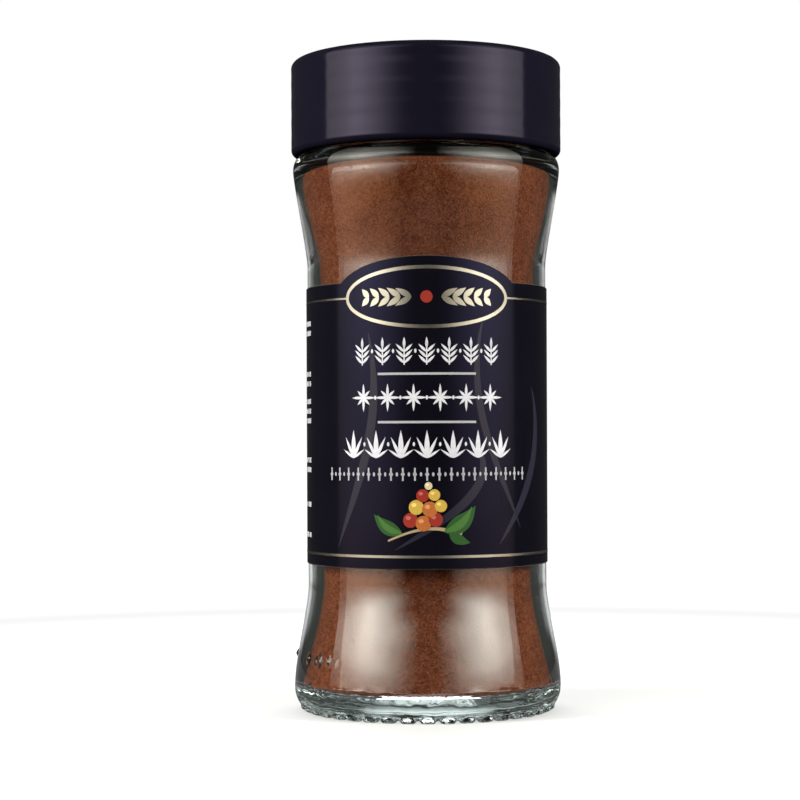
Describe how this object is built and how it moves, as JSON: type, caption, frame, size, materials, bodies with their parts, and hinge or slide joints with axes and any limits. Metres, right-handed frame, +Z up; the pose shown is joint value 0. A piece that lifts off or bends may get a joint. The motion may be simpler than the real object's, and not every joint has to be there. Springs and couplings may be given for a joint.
{
  "type": "shut glass spice jar full of ground cloves",
  "caption": "Waisted round glass spice jar with a flared shoulder and foot, a dark screw cap, a wrapped label with an arched top edge, and a full load of ground cloves.",
  "frame": {"origin": "middle of the foot, on the surface that the jar stands on", "axes": "+Z up along the jar's axis, through the cap; -Y is the front, where the label's arch stands; +X is to the right seen from the front"},
  "size_m": [0.044, 0.044, 0.1052],
  "materials": {
    "clear_glass": "clear, smooth and glossy, faintly grey-green",
    "ground_cloves": "dry fine-grained brown powder",
    "cap_plastic": "glossy moulded plastic, dark violet blue",
    "label_film": "satin printed film, dark violet blue, with metallic foil and pale silver print"
  },
  "bodies": {
    "root": {"glass_jar": "clear_glass", "ground_cloves": "ground_cloves", "cap": "cap_plastic", "label": "label_film"}
  },
  "joints": []
}
